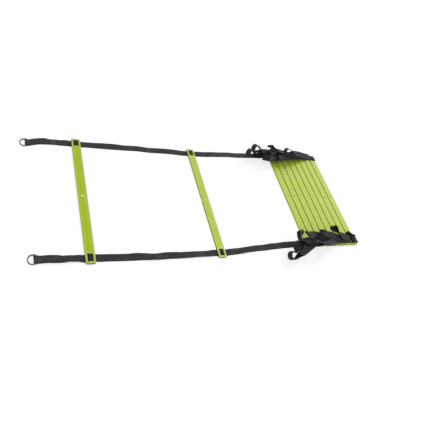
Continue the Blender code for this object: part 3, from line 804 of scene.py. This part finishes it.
class Paint(Nodes):
    """A material under way, with its Principled shader."""

    def __init__(self, name, colour, roughness, constants=None):
        self.material = bpy.data.materials.new(name)
        self.material.use_nodes = True
        self.material.diffuse_color = (*colour, 1.0)
        super().__init__(self.material.node_tree)
        self.shader = self.tree.nodes["Principled BSDF"]
        self.shader.inputs["Base Color"].default_value = (*colour, 1.0)
        self.shader.inputs["Roughness"].default_value = roughness
        for socket, value in (constants or {}).items():
            self.shader.inputs[socket].default_value = value

    def feed(self, socket, value):
        """Link a value to one of the shader's sockets."""
        self.tree.links.new(value.socket, self.shader.inputs[socket])

    def bump(self, height, distance, strength):
        """Relief of the surface."""
        values = {"Strength": strength, "Distance": distance, "Height": height}
        self.feed("Normal", self.add("ShaderNodeBump", None, values))


def object_place(paint, centre=(0.0, 0.0, 0.0), scale=(1.0, 1.0, 1.0)):
    """Object coordinates taken from a centre, then stretched."""
    place = paint.add("ShaderNodeTexCoord", output="Object")
    moved = paint.add("ShaderNodeVectorMath", {"operation": "SUBTRACT"}, (place, centre))
    return paint.add("ShaderNodeVectorMath", {"operation": "MULTIPLY"}, (moved, scale))


def tint(colour, shares):
    """The colour with each of its parts times its own share."""
    return tuple(part * share for part, share in zip(colour, shares))


def rung_paint(name, colour, side_shade, centre):
    """Moulded plastic with a fine grain, faint flow streaks along the bar and soft scuffs.

    The margins of the top face are paler than the middle as a painted reflection, the peg hole's
    rim as a painted highlight, and the upright sides take painted light and shade."""
    paint = Paint(name, colour, 0.42, {"Specular IOR Level": 0.24})
    place = object_place(paint, tuple(centre))
    flow = object_place(paint, tuple(centre), FLOW_STRETCH)
    streaks = paint.noise(flow, scale=1.0, detail=3.0, roughness=0.6)
    clouds = paint.noise(place, scale=22.0, detail=3.0, roughness=0.55)
    grain = paint.noise(place, scale=1900.0, detail=2.0, roughness=0.6)
    scuffed = object_place(paint, tuple(centre), SCUFF_STRETCH)
    scuffs = paint.noise(scuffed, scale=1.0, detail=2.0, roughness=0.7)
    sideways, lengthways, upward = paint.outputs("ShaderNodeSeparateXYZ", "XYZ", place)
    ends = (RUNG_LENGTH / 2 - RIM_END_START, RUNG_LENGTH / 2 - RIM_END_FULL)
    rim = sideways.size().between(RIM_START, RIM_FULL)
    rim = rim.maths("MAXIMUM", rim, lengthways.size().between(*ends))
    # Painted light and shade: below the top, the upright sides take the side_shade tint
    lit = upward.between(RUNG_THICKNESS / 2 - SIDE_DEPTH, RUNG_THICKNESS / 2 - TOP_DEPTH)
    from_hole = (sideways * sideways + lengthways * lengthways).power(0.5)
    # Painted highlight: paler colour in and round the peg hole
    hole_highlight = 1.0 - from_hole.between(PEG_HOLE_RIM, PEG_HOLE_RIM + PEG_HOLE_FADE)
    deep = tint(colour, (0.90, 0.92, 0.80))
    pale = tint(colour, (1.06, 1.05, 1.3))
    margin_reflection = tuple(0.9 * part + add for part, add in zip(colour, (0.10, 0.09, 0.09)))
    chalk = tuple(0.6 * part + 0.3 for part in colour)
    tone = paint.mix((0.55 * clouds + 0.45 * streaks).between(0.34, 0.66), deep, pale)
    # Painted reflection: the margins of the top are paler
    tone = paint.mix(rim * (0.6 + 0.4 * streaks), tone, margin_reflection)
    tone = paint.mix(scuffs.between(0.66, 0.80) * 0.22, tone, chalk)
    tone = paint.mix(lit, tint(colour, side_shade), tone)
    paint.feed("Base Color", paint.mix(hole_highlight, tone, PEG_HOLE_HIGHLIGHT))
    paint.feed("Roughness", 0.38 + 0.14 * clouds + 0.12 * scuffs.between(0.5, 0.8))
    paint.bump(grain + 0.6 * streaks, GRAIN_RELIEF, strength=0.45)
    return paint.material


def webbing_paint(name, web, colours, shade=1.0):
    """Woven webbing: columns of yarn floats set brickwise, with a plain selvedge.

    The relief is the product of the sizes of two sines, across the column and along the float,
    with every second column moved by half a float."""
    constants = {"Sheen Weight": 0.05, "Sheen Roughness": 0.45, "Specular IOR Level": 0.22}
    # A shade below 1 darkens both colours as painted shade, for the webbing in the slots
    dark, light = [
        tuple(shade * part for part in colour)
        for colour in (colours.webbing_shaded_valleys, colours.webbing_light)
    ]
    paint = Paint(name, light, 0.75, constants)
    place = paint.add("ShaderNodeAttribute", {"attribute_name": "web_place"}, output="Vector")
    across_web, along_web = paint.outputs("ShaderNodeSeparateXYZ", "XY", place)
    column = across_web / web.weave_column + 0.5
    shift = column.floor().modulo(2.0) * 0.5
    row = along_web / web.weave_row + shift
    bead = (column * math.pi).sine().size().power(0.6) * (row * math.pi).sine().size().power(0.5)
    selvedge = (web.width / 2 - SELVEDGE_START, web.width / 2 - SELVEDGE_FULL)
    edge = across_web.size().between(*selvedge)
    relief = bead * (1.0 - 0.6 * edge)
    body = object_place(paint)
    worn = paint.noise(body, scale=38.0, detail=3.0, roughness=0.6)
    fuzz = paint.noise(body, scale=900.0, detail=2.0, roughness=0.7)
    lint = paint.noise(body, scale=1500.0, detail=1.0, roughness=0.5).between(0.72, 0.80)
    # Painted shade: the colour darkens where the weave's relief is low, between the yarns
    yarn = paint.mix(relief.between(0.15, 0.95), dark, light)
    faded = tuple(min(1.0, 1.5 * part + 0.012 * shade) for part in light)
    tone = paint.mix(worn.between(0.42, 0.72) * 0.6, yarn, faded)
    tone = paint.mix(lint * 0.35, tone, tuple(5.0 * part for part in light))
    paint.feed("Base Color", tone)
    paint.feed("Roughness", 0.62 + 0.18 * (1.0 - relief) + 0.1 * fuzz)
    paint.bump(relief + 0.25 * fuzz, web.weave_relief, strength=0.8)
    return paint.material


def thread_paint(colours):
    """Bonded thread with a twist seen as fine oblique ridges."""
    paint = Paint("stitch_thread", colours.thread, 0.5, {"Sheen Weight": 0.1})
    place = object_place(paint, scale=TWIST_STRETCH)
    along, aside = paint.outputs("ShaderNodeSeparateXYZ", "XY", place)
    ridge = (along + aside).sine().size()
    # Painted highlight on the twist's ridges, with painted shade between them
    light = tuple(min(1.0, 1.6 * part) for part in colours.thread)
    paint.feed("Base Color", paint.mix(ridge, colours.thread, light))
    paint.bump(ridge, TWIST_RELIEF, strength=0.6)
    return paint.material


def steel_paint(colours):
    """Plated steel wire with drawn scratches and faint cloudy tarnish."""
    paint = Paint("ring_steel", colours.steel, 0.2, {"Metallic": 1.0})
    clouds = paint.noise(object_place(paint), scale=160.0, detail=3.0, roughness=0.6)
    scratched = object_place(paint, scale=SCRATCH_STRETCH)
    drawn = paint.noise(scratched, scale=1.0, detail=3.0, roughness=0.7)
    dull = tuple(0.72 * part for part in colours.steel)
    paint.feed("Base Color", paint.mix(clouds.between(0.45, 0.75) * 0.6, colours.steel, dull))
    paint.feed("Roughness", 0.13 + 0.14 * clouds + 0.08 * drawn)
    paint.bump(drawn, SCRATCH_RELIEF, strength=0.35)
    return paint.material


def dress(thing, material):
    """Give a piece its only material."""
    thing.data.materials.clear()
    thing.data.materials.append(material)


# Operators


class LADDER_OT_rungs(bpy.types.Operator):
    """Give every packed rung its moulded plastic"""

    bl_idname = "ladder.rungs"
    bl_label = "Rungs"

    def execute(self, context):
        colours = context.scene.ladder_colours
        spread = (colours.first_rung, colours.second_rung)
        # Painted shade on the sides of the spread rungs, painted green bounce light on the sides of
        # the gathered ones
        for number, name in enumerate(RUNG_NAMES):
            if number < len(spread):
                colour, side_shade = tuple(spread[number]), SPREAD_SIDE_PAINTED_SHADE
            else:
                # Painted light: each gathered rung is a step lighter than the one before
                lift = (number - len(spread)) * STACK_PAINTED_LIGHT_STEP
                colour, side_shade = tuple(part + lift for part in colours.stack), STACK_SIDE_PAINTED_BOUNCE
            paint = rung_paint(f"{name}_plastic", colour, side_shade, RUNG_CENTRES[number])
            dress(frame["nodes"][name], paint)
        return {"FINISHED"}


class LADDER_OT_straps(bpy.types.Operator):
    """Weave both side straps along their routes, with the bights and the sewn folds"""

    bl_idname = "ladder.straps"
    bl_label = "Side straps"

    def execute(self, context):
        web = context.scene.ladder_webbing
        plan = layout(web)
        fabric = webbing_paint("strap_webbing", web, context.scene.ladder_colours)
        for word in STRAPS:
            places, widths = strap_route(web, plan, word)
            name = f"side_strap_{word}_woven"
            strap, length = band_piece(name, web, places, widths, plan["origin"])
            dress(strap, fabric)
            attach(strap, "gathered_ladder")
            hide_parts(f"side_strap_{word}")
        return {"FINISHED"}


class LADDER_OT_bridges(bpy.types.Operator):
    """Lead the webbing over the centre bars of the two spread rungs"""

    bl_idname = "ladder.bridges"
    bl_label = "Webbing bridges"

    def execute(self, context):
        web = context.scene.ladder_webbing
        plan = layout(web)
        colours = context.scene.ladder_colours
        # Painted shade: the webbing in the slots is a darker copy of the strap's webbing
        fabric = webbing_paint("slot_webbing_shaded", web, colours, SLOT_SHADE)
        low = plan["floor_ply"] + web.thickness + REST_GAP / 2
        for number, body in enumerate(("first_rung", "second_rung")):
            rung_x = plan["places"][number][0]
            for word, (side, *_) in STRAPS.items():
                rung_y = side * plan["window_centre"]
                places, widths = hump_run(plan, rung_x, rung_y, low, steps=25)
                name = f"{body}_bridge_{word}"
                bridge, length = band_piece(name, web, places, widths, plan["origin"])
                dress(bridge, fabric)
                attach(bridge, body)
        return {"FINISHED"}


class LADDER_OT_stitching(bpy.types.Operator):
    """Sew both folds with a box and a cross"""

    bl_idname = "ladder.stitching"
    bl_label = "Stitching"

    def execute(self, context):
        web = context.scene.ladder_webbing
        sizes = context.scene.ladder_stitches
        plan = layout(web)
        thread = thread_paint(context.scene.ladder_colours)
        half = web.width / 2 - sizes.margin
        near_end = FOLD_LAP - sizes.margin
        far_end = FOLD_TAPER + sizes.margin
        box = [(far_end, -half), (near_end, -half), (near_end, half), (far_end, half)]
        seams = (box + box[:1], box[::2], box[1::2])
        places = np.concatenate([seam_line(seam, sizes.pitch) for seam in seams])
        surface = plan["lap_ply"] - plan["floor_ply"] + web.thickness / 2
        surface += STITCH_LIFT_SHARE * sizes.thread
        for word in STRAPS:

            def lay(x, aside, above):
                start = x - STRAPS[word][1]
                return on_strap(word, web, plan, start, aside, surface + above)

            name = f"fold_stitching_{word}"
            stitches = stitch_cluster(name, places, sizes, lay, plan["origin"])
            dress(stitches, thread)
            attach(stitches, "gathered_ladder")
        return {"FINISHED"}


class LADDER_OT_rings(bpy.types.Operator):
    """Bend the two plated D-rings at their folds"""

    bl_idname = "ladder.rings"
    bl_label = "D-rings"

    def execute(self, context):
        steel = steel_paint(context.scene.ladder_colours)
        places = {joint["name"]: joint.get("pos_m") for joint in frame["joints"]}
        for word in STRAPS:
            centre = np.array(places[f"{word}_ring_swing"])
            ring = ring_piece(f"d_ring_{word}_wire", centre, context.scene.ladder_rings.sides)
            dress(ring, steel)
            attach(ring, f"{word}_ring")
            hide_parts(f"d_ring_{word}")
        return {"FINISHED"}


class LADDER_OT_stage(bpy.types.Operator):
    """Lay the pale floor and set up the studio light and the camera"""

    bl_idname = "ladder.stage"
    bl_label = "Stage"

    def execute(self, context):
        scene = context.scene
        scene.view_settings.view_transform = "Standard"
        make_floor()
        make_light(scene)
        make_camera(scene)
        return {"FINISHED"}


def floor_place(paint, centre):
    """Distances along and across the ladder of a floor point from a rung's centre."""
    return paint.outputs("ShaderNodeSeparateXYZ", "XY", object_place(paint, tuple(centre)))


def make_floor(half=4.0):
    """A wide pale floor, just below the object, that looks white and keeps the shadow.

    Where little of the sky is open above it, it stops glowing and shows its dark tone, a painted
    shade, apart from the painted light that comes through the peg holes. Below the gathered rungs
    it takes the colour of the plastic that shines down on it, as painted bounce light."""
    corners = ((-half, -half), (half, -half), (half, half), (-half, half))
    points = np.array([(x, y, -REST_GAP) for x, y in corners])
    floor = new_mesh("floor", points, [(0, 1, 2, 3)], smooth=False)
    paint = Paint("floor_paper", (0.8, 0.8, 0.8), 0.9)
    tree = paint.tree
    tree.nodes.remove(paint.shader)
    rays = ("Is Camera Ray", "Is Glossy Ray", "Is Transmission Ray")
    camera_ray, glossy_ray, clear_ray = paint.outputs("ShaderNodeLightPath", rays)
    open_share = paint.add("ShaderNodeAmbientOcclusion", None, {"Distance": FLOOR_REACH}, "AO")
    open_share = open_share.between(FLOOR_SHUT, FLOOR_OPEN)
    half_width, half_length = RUNG_WIDTH / 2, RUNG_LENGTH / 2
    along, aside = floor_place(paint, RUNG_CENTRES[2])
    past_spread = along.between(-half_width - STACK_EDGE_FADE, STACK_EDGE_FADE - half_width)
    off_end = aside.size().between(half_length - STACK_EDGE_FADE, half_length + STACK_EDGE_FADE)
    below_stack = past_spread * (1.0 - off_end)
    hole_edge = (PEG_HOLE_RIM, PEG_HOLE_RIM + FLOOR_HOLE_FADE)
    pitch = RUNG_CENTRES[3].x - RUNG_CENTRES[2].x
    from_hole = ((along / pitch + 0.5).modulo(1.0) - 0.5).size() * pitch
    from_hole = from_hole.maths("MAXIMUM", from_hole, aside.size())
    # Painted light on the floor below the gathered rungs' peg holes
    below_hole = below_stack * STACK_HOLE_GLOW * (1.0 - from_hole.between(*hole_edge))
    aside = floor_place(paint, RUNG_CENTRES[0])[1].size()
    # Painted light on the floor below the spread rungs' peg holes
    below_spread_hole = (1.0 - aside.between(*hole_edge)) * (1.0 - past_spread)
    open_share = open_share.maths("MAXIMUM", open_share, below_spread_hole)
    open_share = open_share.maths("MAXIMUM", open_share, below_hole)
    seen = (camera_ray + glossy_ray + clear_ray) * open_share * FLOOR_GLOW
    # Painted shade where the floor is shut, with painted green bounce light below the stack
    painted_gap_light = paint.mix(below_stack, FLOOR_PAINTED_SHADE, FLOOR_PAINTED_BOUNCE)
    tone = paint.mix(open_share, painted_gap_light, FLOOR_PALE)
    paper = paint.add("ShaderNodeBsdfDiffuse", None, {"Color": tone})
    white = {"Color": (1.0, 1.0, 1.0, 1.0), "Strength": seen}
    both = paint.add(
        "ShaderNodeAddShader", None, (paper, paint.add("ShaderNodeEmission", None, white))
    )
    tree.links.new(both.socket, tree.nodes["Material Output"].inputs["Surface"])
    floor.data.materials.append(paint.material)


def make_light(scene):
    """An even world and one broad sun from behind on the right."""
    world = bpy.data.worlds.new("studio")
    world.use_nodes = True
    scene.world = world
    nodes = Nodes(world.node_tree)
    camera_ray, glossy_ray = nodes.outputs(
        "ShaderNodeLightPath", ("Is Camera Ray", "Is Glossy Ray")
    )
    seen = camera_ray.maths("MAXIMUM", camera_ray, glossy_ray)
    fill = scene.ladder_light.fill
    level = nodes.add("ShaderNodeMapRange", None, (seen, 0.0, 1.0, fill, 1.0))
    background = nodes.tree.nodes["Background"].inputs
    background["Color"].default_value = (1.0, 1.0, 1.0, 1.0)
    nodes.tree.links.new(level.socket, background["Strength"])
    lamp = bpy.data.lights.new("key", "SUN")
    lamp.energy = scene.ladder_light.key
    lamp.angle = KEY_ANGLE
    key = bpy.data.objects.new("key", lamp)
    key.rotation_euler = Vector(KEY_DIRECTION).to_track_quat("-Z", "Y").to_euler()
    scene.collection.objects.link(key)


def make_camera(scene):
    """The camera at the photograph's viewing angle, from the first rung's top face."""
    data = bpy.data.cameras.new("camera")
    data.sensor_width = CAMERA_SENSOR
    data.lens = CAMERA_LENS
    camera = bpy.data.objects.new("camera", data)
    base = Vector((RUNG_CENTRES[0].x, RUNG_CENTRES[0].y, RUNG_BOXES[0][1].z))
    place = base + Vector(CAMERA_PLACE)
    look = base + Vector(CAMERA_AIM) - place
    turn = look.to_track_quat("-Z", "Y").to_matrix() @ Matrix.Rotation(CAMERA_ROLL, 3, "Z")
    camera.matrix_world = Matrix.Translation(place) @ turn.to_4x4()
    scene.collection.objects.link(camera)
    scene.camera = camera


class LADDER_PT_looks(bpy.types.Panel):
    """Sizes, colours and steps of the ladder's looks"""

    bl_idname = "LADDER_PT_looks"
    bl_label = "Agility ladder"
    bl_space_type = "VIEW_3D"
    bl_region_type = "UI"
    bl_category = "Ladder"

    def draw(self, context):
        for group in PROPERTIES:
            box = self.layout.box()
            holder = getattr(context.scene, group)
            for key in PROPERTIES[group].__annotations__:
                box.prop(holder, key)
        for operator in OPERATORS:
            self.layout.operator(operator.bl_idname)


PROPERTIES = {
    "ladder_webbing": WebbingSizes,
    "ladder_stitches": StitchSizes,
    "ladder_rings": RingSizes,
    "ladder_colours": LadderColours,
    "ladder_light": StageLight,
}
OPERATORS = (
    LADDER_OT_rungs,
    LADDER_OT_straps,
    LADDER_OT_bridges,
    LADDER_OT_stitching,
    LADDER_OT_rings,
    LADDER_OT_stage,
)


def register():
    for group in (*PROPERTIES.values(), *OPERATORS, LADDER_PT_looks):
        bpy.utils.register_class(group)
    for key, group in PROPERTIES.items():
        setattr(bpy.types.Scene, key, PointerProperty(type=group))


def unregister():
    for key in PROPERTIES:
        delattr(bpy.types.Scene, key)
    for group in reversed((*PROPERTIES.values(), *OPERATORS, LADDER_PT_looks)):
        bpy.utils.unregister_class(group)


def main():
    register()
    bpy.ops.ladder.rungs()
    bpy.ops.ladder.straps()
    bpy.ops.ladder.bridges()
    bpy.ops.ladder.stitching()
    bpy.ops.ladder.rings()
    bpy.ops.ladder.stage()


if __name__ == "__main__":
    main()
